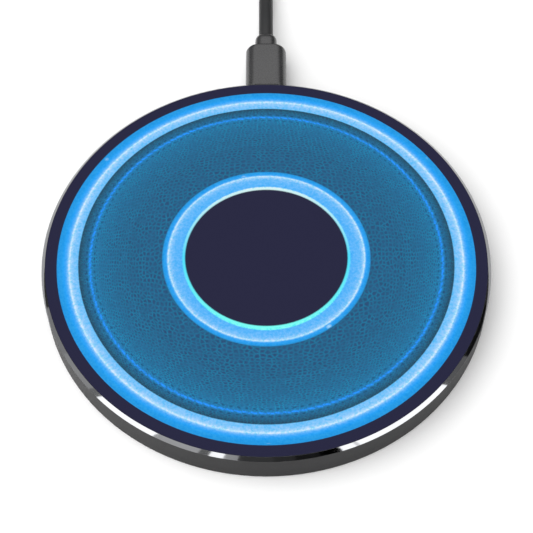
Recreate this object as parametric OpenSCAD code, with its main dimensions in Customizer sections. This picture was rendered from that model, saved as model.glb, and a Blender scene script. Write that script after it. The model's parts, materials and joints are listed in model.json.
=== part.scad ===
// Round wireless charging pad with a plug-in USB lead.
// The pad stands on z = 0, centred on the Z axis. The lead leaves it along +Y.
// All sizes are in millimetres.

/* [Pad] */
// Outside diameter of the rim
pad_d = 100; // [96:1:130]
// Height from the table to the printed face
pad_h = 8.4; // [8.3:0.1:12]
// How far the side wall leans in from top to bottom
side_draft = 0.05; // [0:0.05:0.6]
// Width of the bevel on the bright rim, seen from above
rim_w = 0.8; // [0.6:0.05:1.2]
// Height of the bevel on the bright rim
rim_h = 0.75; // [0.5:0.05:1]

/* [Top] */
// Thickness of the cover glass
glass_t = 1.1; // [0.9:0.1:1.1]
// Thickness of the printed ink on the glass
print_t = 0.1; // [0.05:0.01:0.2]
// Thickness of the tape under the glass
tape_t = 0.2; // [0.1:0.05:0.3]
// Thickness of the stiffening disc behind the glass
backer_t = 0.9; // [0.6:0.1:0.9]

/* [Case] */
// Thickness of the side wall
wall_t = 1.8; // [1.6:0.1:2.4]
// Thickness of the base plate
base_t = 1.4; // [1.3:0.1:1.5]
// How far the foot ring stands below the case
foot_proud = 0.3; // [0.2:0.05:0.5]
// Width of the foot ring
foot_w = 8; // [7:0.5:10]

/* [Coil] */
// Number of turns in the transmitter coil
coil_turns = 10; // [8:1:11]
// Radius of the hole in the transmitter coil
coil_hole_r = 10.3; // [8:0.1:12.4]
// Width and height of the coil's stranded wire
wire_w = 1.1; // [0.9:0.05:1.2]
// Thickness of the ferrite disc
ferrite_t = 0.8; // [0.5:0.1:1]
// Thickness of the coil tray's floor
tray_t = 1.2; // [0.8:0.1:1.4]

/* [Board] */
// Thickness of the circuit board
board_t = 1; // [0.8:0.1:1.2]
// Gap between the base plate and the board
board_gap = 1; // [0.9:0.1:1.2]

/* [Lead] */
// Width of the moulded plug body at the pad
plug_w = 9.9; // [9.6:0.1:12]
// Thickness of the moulded plug body at the pad
plug_t = 5.8; // [5:0.1:6.4]
// Length of the moulded plug body at the pad
plug_l = 13.2; // [12:0.2:24]
// Diameter of the collar behind the plug
collar_d = 5.4; // [4.6:0.1:5.6]
// Diameter of the cord
cord_d = 3.5; // [2.8:0.1:3.6]

/* [Hidden] */
$fn = 96;
eps = 0.01;

// Clearances between pieces that fit together
fit = 0.05;      // glass in rim, plate in case
screw_gap = 0.03; // screw shank in its hole
plug_gap = 0.08; // plug shell in socket, tongue in plug

// Heights, from the table up
base_top = foot_proud + base_t;
board_z = base_top + board_gap;
board_top = board_z + board_t;
glass_top = pad_h - print_t;
glass_z = glass_top - glass_t;
ledge_top = glass_z - tape_t;
ledge_t = 1.2;
rim_top = pad_h - 0.05;
rim_z = rim_top - rim_h;
backer_z = glass_z - backer_t;

// Radii of the case
pad_r = pad_d / 2;
bezel_r = pad_r - rim_w;          // inside of the bright rim
glass_r = bezel_r - fit;
bezel_foot_t = 0.35;              // the rim's tongue in its groove
bezel_foot_h = 0.6;
rim_land = 0.05;                  // flat on top of the rim
ledge_w = 3.2;
ledge_r = bezel_r - ledge_w;      // inside of the glass ledge
tape_inset = 0.3;
wall_r = pad_r - wall_t;          // inside of the wall, round the base plate
plate_r = wall_r - fit;
step_r = wall_r - 1;              // inside of the wall above the base plate
edge_cut = 0.3;                   // chamfer at the wall's foot

// Screws: shank radius, head radius, head height
screw = [1, 1.8, 1];
screw_tip = 0.4;
screw_slot = [2.2, 0.44, 0.5];
screw_pass = 0.1;                 // clearance round a shank that passes through
head_pass = 0.15;                 // clearance round a sunk head
screw_short = 0.9;                // space left under a screw's tip
boss_r = 2.6;                     // pads on the plate
boss_web = 0.6;                   // the frame's bosses are this much bigger, to join the wall
boss_clear = 0.2;

// Base screws and the bosses that take them
base_angles = [15, 165, 225, 315];
base_pos_r = step_r - boss_r - boss_clear;
base_pad_h = 0.9;                 // raised pads on the plate, under the bosses
boss_z = base_top + base_pad_h;
base_sink = 1.2;                  // depth of the screws' heads above the foot ring's recess

// Foot ring in its recess
foot_r = plate_r - 1;             // outside of the foot ring
foot_in_r = foot_r - foot_w;
foot_tape_t = 0.1;
recess_d = 0.45;
recess_top = foot_proud + recess_d;
recess_gap = 0.1;                 // round the foot ring
base_head_z = recess_top + base_sink;
blind_floor = 0.35;               // left under the blind screw holes in the plate

// Circuit board: a ring sector round the back of the pad
board_r = ledge_r;
board_w = 12.5;
board_edge = 0.3;                 // gap between the board and the wall
board_in_r = board_r - board_w;
board_from = 28;                  // degrees from +X
board_to = 152;
post_r = 2.2;
board_posts = [[38, board_r - 6], [142, board_r - 6], [90, board_r - 8.4]];

// Lamp on the board and its light guide through the wall
led_angle = 78;
led_size = [1.2, 1.6, 1.2];
guide_r = 0.8;
led_z = board_top + guide_r;
guide_from = board_r - 1;         // inner end of the guide, against the lamp

// Coil stack, down from the glass
coil_pad_t = 0.2;
coil_top = glass_z - coil_pad_t;
coil_z = coil_top - wire_w;
ferrite_z = coil_z - ferrite_t;
tray_z = ferrite_z - tray_t;
wire_gap = 0.05;
wire_pitch = wire_w + wire_gap;
coil_r = coil_hole_r + wire_w + coil_turns * wire_pitch;
ferrite_edge = 1.5;               // how far the ferrite stands out past the coil
ferrite_r = coil_r + ferrite_edge;
tray_gap = 0.2;
tray_in_r = ferrite_r + tray_gap;
tray_rim_w = 1.4;
tray_r = tray_in_r + tray_rim_w;
tray_rim_drop = 0.3;
tray_rim_top = coil_top - tray_rim_drop;
backer_gap = 0.2;
backer_in_r = tray_r + backer_gap;
ear_r = 2.8;
ear_clear = 0.4;
ear_pos_r = min(tray_r + ear_r + ear_clear, board_in_r - ear_r - ear_clear);
ear_angles = [30, 150, 270];
lead_angle = 60;                  // direction in which the coil's wires run out
lead_slot_w = 3.6;
tray_notch_w = 8;                 // gap in the tray's rim for the wires
lead_side = 2.6;                  // how far beside the slot the coil's outer end runs
lead_r = 0.35;
lead_z = ferrite_z + ferrite_t / 2;
lead_pad_r = board_in_r + 1.5;    // where the wires are soldered to the board

// USB-C socket, sunk into a notch in the board's back edge
socket_in = [8.34, 2.56];         // opening
socket_wall = 0.32;
socket_out = [socket_in[0] + 2 * socket_wall, socket_in[1] + 2 * socket_wall];
port_z = board_z + socket_out[1] / 2;
socket_mouth_y = pad_r - 1.1;
socket_l = 7.3;
socket_back_y = socket_mouth_y - socket_l;
socket_tab = [1, 0.9, 0.3];       // solder tabs on the board
socket_tab_ys = [0.6, 3.4];
socket_block_l = 1.3;             // insulator behind the tongue
tongue = [6.7, 4.4, 0.5];
contact_t = 0.1;
contact_w = 0.25;
contact_pitch = 0.5;
contact_count = 12;
contact_inset = 0.6;              // the contacts end this far short of the tongue's tip
port_size = [socket_out[0] + 0.7, socket_out[1] + 0.6];

// USB-C plug on the lead, pushed home
plug_y = pad_r + 0.4;             // front of the moulded body
plug_out = [socket_in[0] - plug_gap, socket_in[1] - 2 * plug_gap];
plug_reach = 6.65;                // shell in front of the body
plug_root = 2.5;                  // shell inside the body
plug_wall = 0.3;
plug_in = [plug_out[0] - 2 * plug_wall, plug_out[1] - 2 * plug_wall];
cavity = [tongue[0] + 2 * plug_gap, tongue[2] + 4 * contact_t + 2 * plug_gap];
plug_inset = 0.15;                // the plug's insulator sits this far inside its shell
cavity_l = 5.9;
paddle = [6.8, 5.5, 0.8];
plug_end_y = plug_y + plug_l;
collar_l = 3.6;
collar_round = 0.8;
cord_gap = 0.05;
exit_y = plug_end_y + collar_l;   // where the cord leaves the collar
plug_round = 2.2;

// Cord, as laid. Its points are relative to (0, exit_y, 0) and lie on the cord's centre line.
cord_r = cord_d / 2;
lead_route = [
    [0, -5, 4.3], [0, 0, 4.3], [0, 5, 4.2], [0, 11, 3.5],
    [0, 17, 2.6], [0, 23, 2.2], [0, 32, 2.15], [0, 40.8, 2.15]];
tail_route = [
    [0, 59.2, 5.6], [0, 64, 5.2], [0, 70, 3.6], [1, 75, 2.3], [4, 79.2, 1.8], [9, 81.5, 1.8],
    [14, 81.5, 1.8], [19, 79.2, 1.9], [22, 75, 2.4], [23, 70, 3.4], [23, 66, 3.8], [23, 60, 3.8]];

// Coil of cord: two layers of four turns, with a strap round them
tie_t = 0.4;                      // the strap passes under the turns, so they lie this high
tie_angle = 26;
lay_turn_r = 24.4;                // centre of the outermost turn
lay_turns = 4;
lay_in_r = lay_turn_r - lay_turns * cord_d - cord_r;
lay_out_r = lay_turn_r + cord_r;
lay_h = 2 * cord_d;
lay_x = -lay_turn_r;
lay_y = 50;                       // its centre, behind the exit

// USB-A plug at the lead's far end, lying flat
a_x = 23;
a_y = 62;                         // back of its moulded body, behind the exit
a_body = [15.6, 20, 7.6];
a_round = 2.4;
a_shell = [12, 12, 4.5];
a_wall = 0.35;
a_root = 3;
a_collar_l = 4;
a_bore_l = 4;                     // depth of the cord's bore in the body
a_tip_gap = 0.5;                  // the insulator ends this far inside the shell
a_block_t = 1.9;
a_window = 2.2;                   // square latch windows in the shell
a_window_x = 2.6;
a_window_back = 6.6;              // from the tip to the far side of the windows
a_contact = [1, 0.2];             // width and thickness
a_contact_outer = [3.5, 1.4];     // x of the long outer pair, and how far it ends from the tip
a_contact_inner = [1, 2.4];       // the same for the inner pair

// ---------- shapes that repeat ----------

// Ring or disc from radius r0 to r1, from height z0 to z1
module ring(r0, r1, z0, z1) {
    rotate_extrude() translate([r0, z0]) square([r1 - r0, z1 - z0]);
}

// Copies its children at an angle and radius, x pointing outwards
module at(angle, radius) {
    rotate([0, 0, angle]) translate([radius, 0, 0]) children();
}

// Bar with round sides, size = [width, thickness], from y0 to y1, centred on the port's height
module slot_bar(size, y0, y1) {
    r = size[1] / 2;
    side = size[0] / 2 - r;
    translate([0, y0, port_z]) {
        for (x = [-side, side]) translate([x, 0, 0]) rotate([-90, 0, 0])
            cylinder(r = r, h = y1 - y0);
        translate([-side, 0, -r]) cube([2 * side, y1 - y0, size[1]]);
    }
}

// Screw with a pan head: its head stands on z = 0 and its shank points down
module pan_screw(length) {
    difference() {
        union() {
            cylinder(r = screw[1], h = screw[2]);
            translate([0, 0, -length]) cylinder(r = screw[0], h = length + eps);
            translate([0, 0, -length - screw_tip])
                cylinder(r1 = screw_tip, r2 = screw[0], h = screw_tip);
        }
        for (a = [0, 90]) rotate([0, 0, a])
            translate([-screw_slot[0] / 2, -screw_slot[1] / 2, screw[2] - screw_slot[2]])
                cube(screw_slot + [0, 0, 1]);
    }
}

// Electronic part on the board: a body with metal ends, size = [across, along, height]
module chip(angle, radius, size) {
    at(angle, radius) translate([-size[1] / 2, -size[0] / 2, board_top])
        cube([size[1], size[0], size[2]]);
}

// Tube that follows a list of points, made of one ring of sides at each point
module tube(points, r, sides = 8) {
    n = len(points);
    function along(i) = points[min(i + 1, n - 1)] - points[max(i - 1, 0)];
    function unit(v) = v / norm(v);
    function side_of(d) = unit(cross(d, [0, 0, 1]));
    rings = [for (i = [0:n - 1])
        let (d = unit(along(i)), s = side_of(d), u = cross(s, d))
        for (k = [0:sides - 1])
        let (a = 360 * (k + 0.5) / sides)
        points[i] + r * (cos(a) * s + sin(a) * u)];
    walls = [for (i = [0:n - 2], k = [0:sides - 1])
        let (j = (k + 1) % sides)
        [i * sides + k, i * sides + j, (i + 1) * sides + j, (i + 1) * sides + k]];
    start = [for (k = [sides - 1:-1:0]) k];
    stop = [for (k = [0:sides - 1]) (n - 1) * sides + k];
    polyhedron(points = rings, faces = concat([start], walls, [stop]), convexity = 6);
}

// ---------- top ----------

module top_print() {
    color("#2c2c44") ring(0, glass_r, glass_top, pad_h);
}

module cover_glass() {
    color("#20242c") ring(0, glass_r, glass_z, glass_top);
}

module glass_tape() {
    color("#15161a") ring(ledge_r + tape_inset, glass_r - tape_inset, ledge_top, glass_z);
}

module glass_backer() {
    color("#26262a") ring(backer_in_r, ledge_r - backer_gap, backer_z, glass_z);
}

// ---------- case ----------

module bezel_ring() {
    foot_z = ledge_top - bezel_foot_h;
    foot_out = bezel_r + bezel_foot_t;
    color("#c8cacd") rotate_extrude($fn = 180) polygon([
        [bezel_r, foot_z], [foot_out, foot_z], [foot_out, rim_z], [pad_r, rim_z],
        [bezel_r + rim_land, rim_top], [bezel_r, rim_top]]);
}

module side_frame() {
    groove_z = ledge_top - bezel_foot_h;
    groove_r = bezel_r + bezel_foot_t;
    foot_out = pad_r - side_draft;
    color("#464646") difference() {
        union() {
            rotate_extrude($fn = 180) polygon([
                [wall_r, foot_proud], [foot_out - edge_cut, foot_proud],
                [foot_out, foot_proud + edge_cut], [pad_r, rim_z],
                [groove_r, rim_z], [groove_r, groove_z], [bezel_r, groove_z],
                [bezel_r, ledge_top], [ledge_r, ledge_top], [ledge_r, ledge_top - ledge_t],
                [step_r, ledge_top - ledge_t], [step_r, base_top], [wall_r, base_top]]);
            for (a = base_angles) at(a, base_pos_r) translate([0, 0, boss_z])
                cylinder(r = boss_r + boss_web, h = ledge_top - ledge_t - boss_z + eps);
        }
        for (a = base_angles) at(a, base_pos_r) translate([0, 0, boss_z - eps])
            cylinder(r = screw[0] + screw_gap, h = ledge_top - ledge_t - boss_z);
        slot_bar(port_size, socket_back_y - 1, pad_r + 1);
        rotate([0, 0, led_angle]) translate([step_r - 1, 0, led_z]) rotate([0, 90, 0])
            cylinder(r = guide_r, h = wall_t + ledge_w);
    }
}

module base_plate() {
    color("#2e2e30") difference() {
        union() {
            ring(0, plate_r, foot_proud, base_top);
            for (a = base_angles) at(a, base_pos_r) translate([0, 0, base_top - eps])
                cylinder(r = boss_r, h = base_pad_h + eps);
            for (p = board_posts) at(p[0], p[1]) translate([0, 0, base_top - eps])
                cylinder(r = post_r, h = board_gap + eps);
            for (a = ear_angles) at(a, ear_pos_r) translate([0, 0, base_top - eps])
                cylinder(r = post_r, h = tray_z - base_top + eps);
        }
        ring(foot_in_r - recess_gap, foot_r + recess_gap, foot_proud - eps, recess_top);
        for (a = base_angles) at(a, base_pos_r) {
            translate([0, 0, foot_proud])
                cylinder(r = screw[1] + head_pass, h = base_head_z - foot_proud);
            cylinder(r = screw[0] + screw_pass, h = boss_z + 1);
        }
        for (p = board_posts) at(p[0], p[1]) translate([0, 0, recess_top + blind_floor])
            cylinder(r = screw[0] + screw_gap, h = board_z);
        for (a = ear_angles) at(a, ear_pos_r) translate([0, 0, recess_top + blind_floor])
            cylinder(r = screw[0] + screw_gap, h = tray_z);
    }
}

module base_screws() {
    length = ledge_top - ledge_t - base_head_z - screw_short;
    color("#9a9ca0") for (a = base_angles) at(a, base_pos_r) translate([0, 0, base_head_z])
        mirror([0, 0, 1]) pan_screw(length);
}

module foot_ring() {
    color("#1d1d1f") ring(foot_in_r, foot_r, 0, recess_top - foot_tape_t);
}

module foot_tape() {
    color("#3a3a3c") ring(foot_in_r, foot_r, recess_top - foot_tape_t, recess_top);
}

// ---------- coil ----------

module coil_pad() {
    color("#4a4d52") ring(coil_hole_r + wire_w / 2, coil_r - wire_w, coil_top, glass_z);
}

// Flat spiral of stranded wire. It starts and ends in the direction of the wires.
module transmit_coil() {
    per_turn = 30;
    n = coil_turns * per_turn;
    function spiral(i, start_r) = (start_r + wire_pitch * i / per_turn)
        * [cos(360 * i / per_turn), sin(360 * i / per_turn)];
    inner = [for (i = [0:n]) spiral(i, coil_hole_r)];
    outer = [for (i = [n:-1:0]) spiral(i, coil_hole_r + wire_w)];
    color("#b8703a") rotate([0, 0, lead_angle]) translate([0, 0, coil_z])
        linear_extrude(wire_w) polygon(concat(inner, outer));
}

// The inner end runs out in the ferrite's slot. The outer end turns off and comes down beside it.
module coil_wires() {
    inner_r = coil_hole_r + wire_w / 2;
    end_r = coil_r - wire_w / 2;
    drop_r = tray_in_r + tray_rim_w / 2;
    mid_z = coil_z + wire_w / 2;
    color("#a8642f") rotate([0, 0, lead_angle]) {
        wire_run(-lead_r - wire_gap, inner_r, coil_z);
        translate([end_r, 0, mid_z]) rotate([-90, 0, 0]) cylinder(r = lead_r, h = lead_side);
        translate([end_r, lead_side, mid_z]) rotate([0, 90, 0]) cylinder(r = lead_r, h = drop_r - end_r);
        wire_run(lead_side, drop_r, mid_z);
    }
}

// Wire that drops from z_top at radius r0, runs out, and drops to the board
module wire_run(across, r0, z_top) {
    translate([r0, across, lead_z - lead_r]) cylinder(r = lead_r, h = z_top - lead_z + lead_r);
    translate([r0, across, lead_z]) rotate([0, 90, 0]) cylinder(r = lead_r, h = lead_pad_r - r0);
    translate([lead_pad_r, across, board_top]) cylinder(r = lead_r, h = lead_z - board_top + lead_r);
}

module ferrite_disc() {
    color("#3b3b3d") difference() {
        ring(0, ferrite_r, ferrite_z, coil_z);
        rotate([0, 0, lead_angle]) translate([0, -lead_slot_w / 2, ferrite_z - eps])
            cube([ferrite_r + 1, lead_slot_w, ferrite_t + 2 * eps]);
    }
}

module coil_tray() {
    color("#d9d9d6") difference() {
        union() {
            ring(0, tray_r, tray_z, ferrite_z);
            ring(tray_in_r, tray_r, tray_z, tray_rim_top);
            for (a = ear_angles) at(a, ear_pos_r) {
                translate([0, 0, tray_z]) cylinder(r = ear_r, h = tray_t);
                translate([tray_in_r - ear_pos_r, -ear_r, tray_z])
                    cube([ear_pos_r - tray_in_r, 2 * ear_r, tray_t]);
            }
        }
        for (a = ear_angles) at(a, ear_pos_r) translate([0, 0, tray_z - eps])
            cylinder(r = screw[0] + screw_pass, h = tray_t + 1);
        rotate([0, 0, lead_angle]) translate([tray_in_r - 1, -tray_notch_w / 2, ferrite_z])
            cube([tray_rim_w + 2, tray_notch_w, pad_h]);
    }
}

module tray_screws() {
    color("#9a9ca0") for (a = ear_angles) at(a, ear_pos_r) translate([0, 0, ferrite_z])
        pan_screw(tray_t + 2 * screw[0]);
}

// Temperature bead on the ferrite, under the middle of the glass, with its two wires
module thermistor() {
    bead = [2.4, 0.9];                // radius and height
    wire = 0.2;
    wire_ys = [0.65, 1.25];
    wire_x = bead[0] / 2;
    color("#202022") translate([0, 0, coil_z]) cylinder(r = bead[0], h = bead[1]);
    color("#b0302a") rotate([0, 0, lead_angle]) for (y = wire_ys) {
        translate([wire_x, y, lead_z - wire]) cylinder(r = wire, h = coil_z - lead_z + wire);
        translate([wire_x, y, lead_z]) rotate([0, 90, 0]) cylinder(r = wire, h = lead_pad_r - wire_x);
        translate([lead_pad_r, y, board_top]) cylinder(r = wire, h = lead_z - board_top + wire);
    }
}

// ---------- board ----------

module main_board() {
    color("#1f5a3a") difference() {
        rotate([0, 0, board_from]) rotate_extrude(angle = board_to - board_from)
            translate([board_in_r, board_z]) square([board_w - board_edge, board_t]);
        translate([-socket_out[0] / 2, socket_back_y, board_z - 1])
            cube([socket_out[0], board_w, board_t + 2]);
        for (p = board_posts) at(p[0], p[1]) translate([0, 0, board_z - 1])
            cylinder(r = screw[0] + screw_pass, h = board_t + 2);
    }
}

module board_screws() {
    color("#9a9ca0") for (p = board_posts) at(p[0], p[1]) translate([0, 0, board_top])
        pan_screw(board_t + board_gap - screw_short / 2);
}

module controller_chip() {
    color("#1a1a1c") chip(114, board_r - 6.5, [6, 6, 0.9]);
}

module bridge_transistors() {
    color("#1a1a1c") for (a = [46, 53], r = [board_r - 8.5, board_r - 3.8]) chip(a, r, [3.3, 3.3, 1]);
}

module resonant_capacitors() {
    color("#b79b74") for (a = [67, 73.5], r = [board_r - 8.5, board_r - 4.4])
        chip(a, r, [3.2, 2.5, 1.8]);
}

module bulk_capacitors() {
    color("#c9a53c") for (r = [board_r - 8.8, board_r - 4.4]) chip(125, r, [3.6, 2.8, 1.8]);
}

module input_inductor() {
    color("#4b4b4f") chip(104, board_r - 8.2, [5, 5, 1.9]);
}

module timing_crystal() {
    color("#c4c6c8") chip(120.5, board_r - 10.6, [2, 1.6, 0.7]);
}

// Rows of small resistors along two arcs of the board
module chip_resistors() {
    color("#2a2a2c") {
        for (a = [130:2.6:135.2]) chip(a, board_r - 9.5, [0.8, 1.6, 0.5]);
        for (a = [130:2.6:135.2]) chip(a, board_r - 4.5, [0.8, 1.6, 0.5]);
        for (a = [31, 33.2]) chip(a, board_r - 4, [0.8, 1.6, 0.5]);
        for (a = [98.5, 101.2, 103.9, 106.6]) chip(a, board_r - 3.2, [0.8, 1.6, 0.5]);
    }
}

module status_led() {
    color("#e8e6d8") rotate([0, 0, led_angle])
        translate([guide_from - led_size[0], -led_size[1] / 2, board_top]) cube(led_size);
}

// Clear rod from the lamp on the board to the outside of the wall
module light_guide() {
    color("#e6eef2") intersection() {
        rotate([0, 0, led_angle]) translate([guide_from, 0, led_z]) rotate([0, 90, 0])
            cylinder(r = guide_r, h = pad_r - guide_from);
        ring(0, pad_r - side_draft - fit, 0, pad_h);
    }
}

module thermal_pad() {
    size = [9, 8, board_gap];
    color("#8fa0b8") at(49.5, board_r - 6.2) translate([-size[0] / 2, -size[1] / 2, base_top]) cube(size);
}

// ---------- socket ----------

module socket_shell() {
    color("#b9bcc0") difference() {
        union() {
            slot_bar(socket_out, socket_back_y, socket_mouth_y);
            for (y = socket_tab_ys)
                translate([-socket_out[0] / 2 - socket_tab[0], socket_back_y + y, board_top])
                    cube([socket_out[0] + 2 * socket_tab[0], socket_tab[1], socket_tab[2]]);
        }
        slot_bar(socket_in, socket_back_y + socket_wall, socket_mouth_y + 1);
    }
}

module socket_tongue() {
    block_y = socket_back_y + socket_wall;
    color("#1c1c1e") {
        slot_bar(socket_in, block_y, block_y + socket_block_l);
        translate([-tongue[0] / 2, block_y + socket_block_l - eps, port_z - tongue[2] / 2])
            cube([tongue[0], tongue[1], tongue[2]]);
    }
}

// Row of thin contacts from y0 to y1: bottom faces at the heights in zs
module contact_rows(zs, y0, y1) {
    for (z = zs, i = [0:contact_count - 1])
        translate([(i - (contact_count - 1) / 2) * contact_pitch - contact_w / 2, y0, port_z + z])
            cube([contact_w, y1 - y0, contact_t]);
}

module socket_contacts() {
    front = socket_back_y + socket_wall + socket_block_l;
    face = tongue[2] / 2;
    color("#d8b45a") contact_rows([face, -face - contact_t], front, front + tongue[1] - contact_inset);
}

// ---------- plug at the pad ----------

module plug_shell() {
    color("#c3c6ca") difference() {
        slot_bar(plug_out, plug_y - plug_reach, plug_y + plug_root);
        slot_bar(plug_in, plug_y - plug_reach - 1, plug_y + plug_root + 1);
    }
}

module plug_insulator() {
    front = plug_y - plug_reach + plug_inset;
    color("#1c1c1e") difference() {
        slot_bar(plug_in, front, plug_y + plug_root);
        translate([-cavity[0] / 2, front - 1, port_z - cavity[1] / 2])
            cube([cavity[0], cavity_l + 1, cavity[1]]);
    }
}

module plug_contacts() {
    front = plug_y - plug_reach + plug_inset + contact_inset;
    inside = cavity[1] / 2;
    color("#d8b45a") contact_rows([inside - contact_t, -inside], front, front + cavity_l - contact_inset);
}

module plug_board() {
    color("#1f5a3a") translate([-paddle[0] / 2, plug_y + plug_root, port_z - paddle[2] / 2]) cube(paddle);
}

// Moulded body with round edges, open in front for the shell and behind for the cord
module plug_body() {
    x = plug_w / 2 - plug_round;
    z = plug_t / 2 - plug_round;
    color("#4a4a4c") difference() {
        union() {
            translate([0, 0, port_z]) hull() for (sx = [-1, 1], sz = [-1, 1]) {
                translate([sx * x, plug_y, sz * z]) rotate([-90, 0, 0])
                    cylinder(r = plug_round, h = 1, $fn = 32);
                translate([sx * x, plug_end_y - plug_round, sz * z]) sphere(r = plug_round, $fn = 32);
            }
            translate([0, plug_end_y - 1, port_z]) rotate([-90, 0, 0]) cylinder(r = collar_d / 2, h = 1);
        }
        slot_bar(plug_out, plug_y - 1, plug_y + plug_root);
        translate([-paddle[0] / 2, plug_y, port_z - paddle[2] / 2])
            cube([paddle[0], plug_root + paddle[1], paddle[2]]);
        translate([0, plug_y + plug_root + paddle[1] - eps, port_z]) rotate([-90, 0, 0])
            cylinder(r = cord_r + cord_gap, h = plug_l);
    }
}

module plug_collar() {
    color("#454547") translate([0, plug_end_y, port_z]) rotate([-90, 0, 0])
        collar(collar_d / 2, collar_l);
}

// Sleeve round the cord, with its far edge rounded off
module collar(r, length) {
    round = min(collar_round, (r - cord_r) / 1.25);
    hole = cord_r + cord_gap;
    rotate_extrude() polygon(concat(
        [[hole, 0], [r, 0]],
        [for (a = [0:15:90]) [r - round + round * cos(a), length - round + round * sin(a)]],
        [[hole, length]]));
}

// ---------- cord ----------

module cord_lead() {
    color("#2b2b2d") translate([0, exit_y, 0]) tube(lead_route, cord_r);
}

// Outer shape of the coiled length
module cord_coil() {
    cut = 1.2;
    color("#2b2b2d") translate([lay_x, exit_y + lay_y, tie_t]) rotate_extrude() polygon([
        [lay_in_r, cut], [lay_in_r + cut, 0], [lay_out_r - cut, 0], [lay_out_r, cut],
        [lay_out_r, lay_h - cut], [lay_out_r - cut, lay_h],
        [lay_in_r + cut, lay_h], [lay_in_r, lay_h - cut]]);
}

module cord_tail() {
    color("#2b2b2d") translate([0, exit_y, 0]) tube(tail_route, cord_r);
}

// Strap round the bundle of turns, on the side away from the plug
module cord_tie() {
    bundle = lay_out_r - lay_in_r;
    color("#1a1a1c") translate([lay_x, exit_y + lay_y, tie_t]) rotate([0, 0, 180 - tie_angle / 2])
        rotate_extrude(angle = tie_angle) difference() {
            translate([lay_in_r - tie_t, -tie_t]) square([bundle + 2 * tie_t, lay_h + 2 * tie_t]);
            translate([lay_in_r, 0]) square([bundle, lay_h]);
        }
}

// ---------- plug at the far end ----------

// Puts its children at the back of the far plug's body, with y pointing to its tip
module at_far_plug() {
    translate([a_x, exit_y + a_y, a_body[2] / 2]) rotate([0, 0, 180]) children();
}

module centred_box(w, y0, y1, z0, z1) {
    translate([-w / 2, y0, z0]) cube([w, y1 - y0, z1 - z0]);
}

module usb_a_shell() {
    tip = a_body[1] + a_shell[1];
    top = a_shell[2] / 2;
    color("#c3c6ca") at_far_plug() difference() {
        centred_box(a_shell[0], a_body[1] - a_root, tip, -top, top);
        centred_box(a_shell[0] - 2 * a_wall, a_body[1] - a_root - 1, tip + 1,
            -top + a_wall, top - a_wall);
        for (x = [-a_window_x, a_window_x]) translate([x, 0, 0])
            centred_box(a_window, tip - a_window_back, tip - a_window_back + a_window, top - 1, top + 1);
    }
}

module usb_a_insulator() {
    tip = a_body[1] + a_shell[1];
    floor_z = -a_shell[2] / 2 + a_wall;
    color("#f0f0ee") at_far_plug()
        centred_box(a_shell[0] - 2 * a_wall, a_body[1] - a_root, tip - a_tip_gap,
            floor_z, floor_z + a_block_t);
}

module usb_a_contacts() {
    tip = a_body[1] + a_shell[1];
    z = -a_shell[2] / 2 + a_wall + a_block_t;
    color("#d8b45a") at_far_plug() for (c = [a_contact_outer, a_contact_inner], side = [-1, 1])
        translate([side * c[0], 0, 0])
            centred_box(a_contact[0], a_body[1] - a_root, tip - c[1], z, z + a_contact[1]);
}

module usb_a_body() {
    x = a_body[0] / 2 - a_round;
    z = a_body[2] / 2 - a_round;
    color("#4a4a4c") at_far_plug() difference() {
        union() {
            hull() for (sx = [-1, 1], sz = [-1, 1]) {
                translate([sx * x, a_round, sz * z]) sphere(r = a_round, $fn = 32);
                translate([sx * x, a_body[1] - 1, sz * z]) rotate([-90, 0, 0])
                    cylinder(r = a_round, h = 1, $fn = 32);
            }
            rotate([-90, 0, 0]) cylinder(r = collar_d / 2, h = 1);
        }
        centred_box(a_shell[0], a_body[1] - a_root, a_body[1] + 1, -a_shell[2] / 2, a_shell[2] / 2);
        translate([0, -1, 0]) rotate([-90, 0, 0]) cylinder(r = cord_r + cord_gap, h = a_bore_l + 1);
    }
}

module usb_a_collar() {
    color("#454547") at_far_plug() rotate([90, 0, 0]) collar(collar_d / 2, a_collar_l);
}

top_print();
cover_glass();
glass_tape();
glass_backer();
bezel_ring();
side_frame();
base_plate();
base_screws();
foot_ring();
foot_tape();
coil_pad();
transmit_coil();
coil_wires();
ferrite_disc();
coil_tray();
tray_screws();
thermistor();
main_board();
board_screws();
controller_chip();
bridge_transistors();
resonant_capacitors();
bulk_capacitors();
input_inductor();
chip_resistors();
timing_crystal();
status_led();
light_guide();
thermal_pad();
socket_shell();
socket_tongue();
socket_contacts();
plug_shell();
plug_insulator();
plug_contacts();
plug_board();
plug_body();
plug_collar();
cord_lead();
cord_coil();
cord_tail();
cord_tie();
usb_a_shell();
usb_a_insulator();
usb_a_contacts();
usb_a_body();
usb_a_collar();
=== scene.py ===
"""Studio scene of a round wireless charging pad: a printed top in a bright bevelled rim, a dark
grey side and a USB lead plugged in at the back. Metres, +Z up, and the lead leaves along +Y."""
import json
import math

import bmesh
import bpy
from mathutils import Matrix, Vector


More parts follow.
